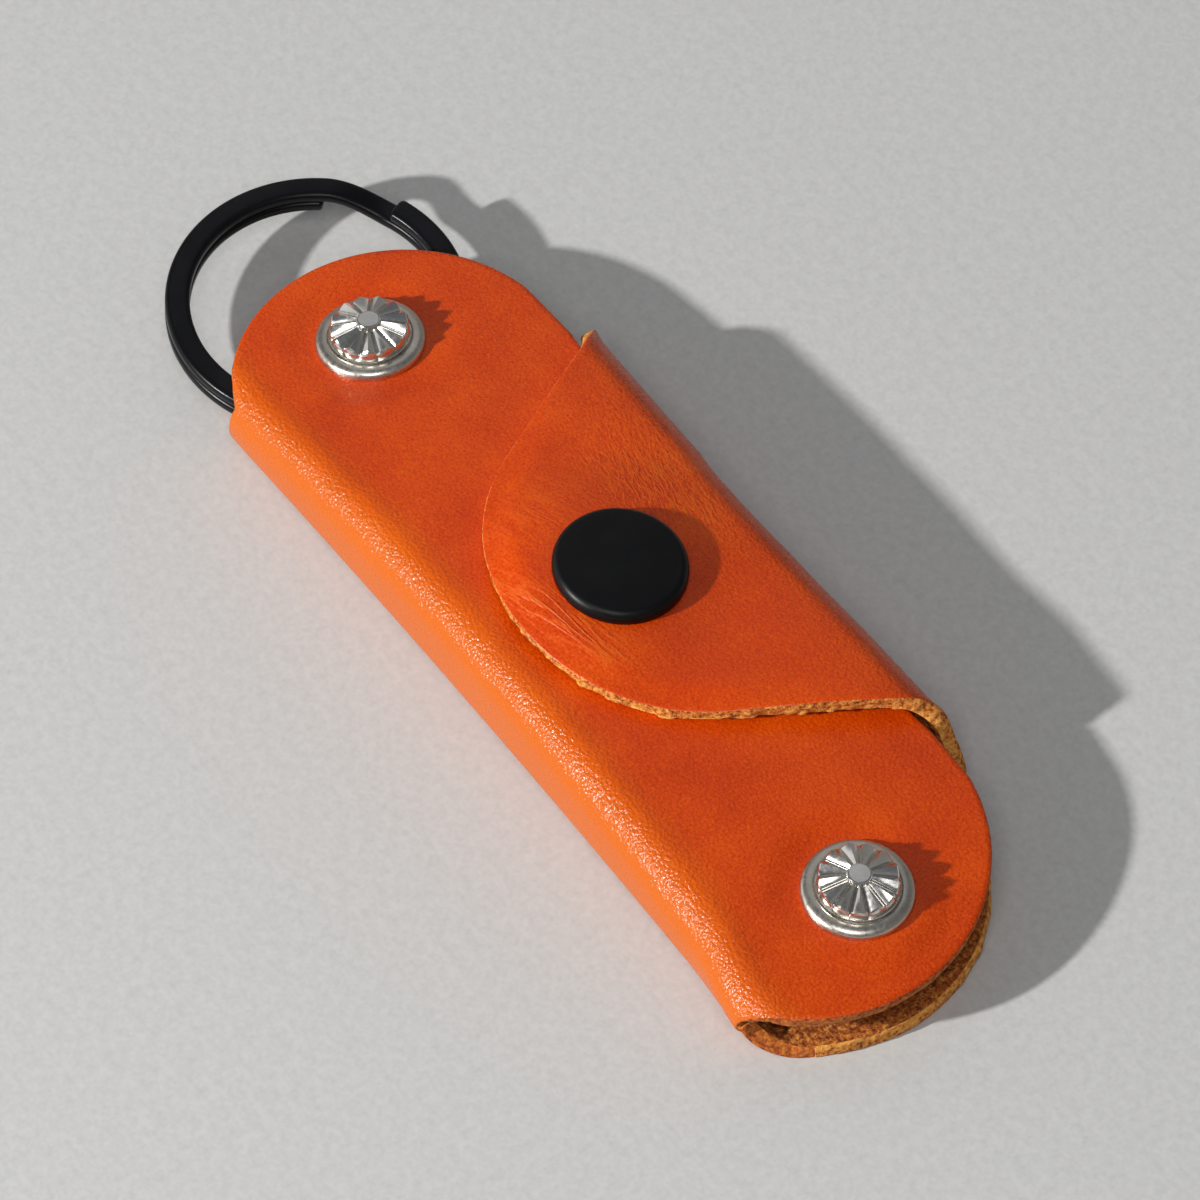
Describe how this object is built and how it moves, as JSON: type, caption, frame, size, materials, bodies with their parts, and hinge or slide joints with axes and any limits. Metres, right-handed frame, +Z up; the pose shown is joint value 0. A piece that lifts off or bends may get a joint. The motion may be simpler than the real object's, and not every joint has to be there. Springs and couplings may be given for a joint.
{
  "type": "key case",
  "caption": "Folded leather key case with a bowed front panel, a snap flap, a screw post at each end for the keys and a split ring on one post.",
  "frame": {"origin": "on the flat back face, below the middle of the whole footprint with the split ring at rest", "axes": "+X along the case away from the split ring, +Y from the spine to the flap's bend, +Z up through the front panel"},
  "size_m": [0.1108, 0.0322, 0.0149],
  "materials": {
    "leather": "orange vegetable-tanned leather with a fine grain, a satin wax finish and rough cut edges",
    "nickel": "satin nickel plate on the washers and posts, polished on the flower heads",
    "black_cap": "matte black lacquer",
    "black_ring": "satin black coat"
  },
  "bodies": {
    "case": {"leather_body": "leather", "snap_stud": "nickel", "snap_eyelet": "nickel", "ring_end_post": "nickel", "far_end_post": "nickel"},
    "flap": {"leather_flap": "leather", "snap_cap": "black_cap", "snap_socket": "nickel", "snap_spring": "nickel"},
    "ring": {"split_ring": "black_ring"},
    "ring_end_washer": {"ring_end_washer": "nickel"},
    "ring_end_screw": {"ring_end_screw": "nickel"},
    "far_end_washer": {"far_end_washer": "nickel"},
    "far_end_screw": {"far_end_screw": "nickel"}
  },
  "joints": [
    {"name": "flap_open", "type": "hinge", "parent": "case", "child": "flap", "pos_m": [0.0063, 0.0161, 0.00625], "axis": [-1, 0, 0], "range_deg": [0, 160]},
    {"name": "ring_swing", "type": "hinge", "parent": "case", "child": "ring", "pos_m": [-0.0318, -0.0015, 0.003], "axis": [0, 0, -1], "range_deg": [-4, 80]},
    {"name": "ring_end_lift", "type": "slide", "parent": "case", "child": "ring_end_washer", "axis": [-0.0872, 0, 0.9962], "range_m": [0, 0.005]},
    {"name": "ring_end_turn", "type": "hinge", "parent": "ring_end_washer", "child": "ring_end_screw", "pos_m": [-0.03219, -0.0015, 0.0077], "axis": [-0.0872, 0, 0.9962], "range_deg": [0, 2572]},
    {"name": "far_end_lift", "type": "slide", "parent": "case", "child": "far_end_washer", "axis": [0.0872, 0, 0.9962], "range_m": [0, 0.005]},
    {"name": "far_end_turn", "type": "hinge", "parent": "far_end_washer", "child": "far_end_screw", "pos_m": [0.04481, -0.0015, 0.0077], "axis": [0.0872, 0, 0.9962], "range_deg": [0, 2572]}
  ],
  "couplings": [
    {"joint": "ring_end_turn", "follows": "ring_end_lift", "rad_per_m": 8976},
    {"joint": "far_end_turn", "follows": "far_end_lift", "rad_per_m": 8976}
  ]
}
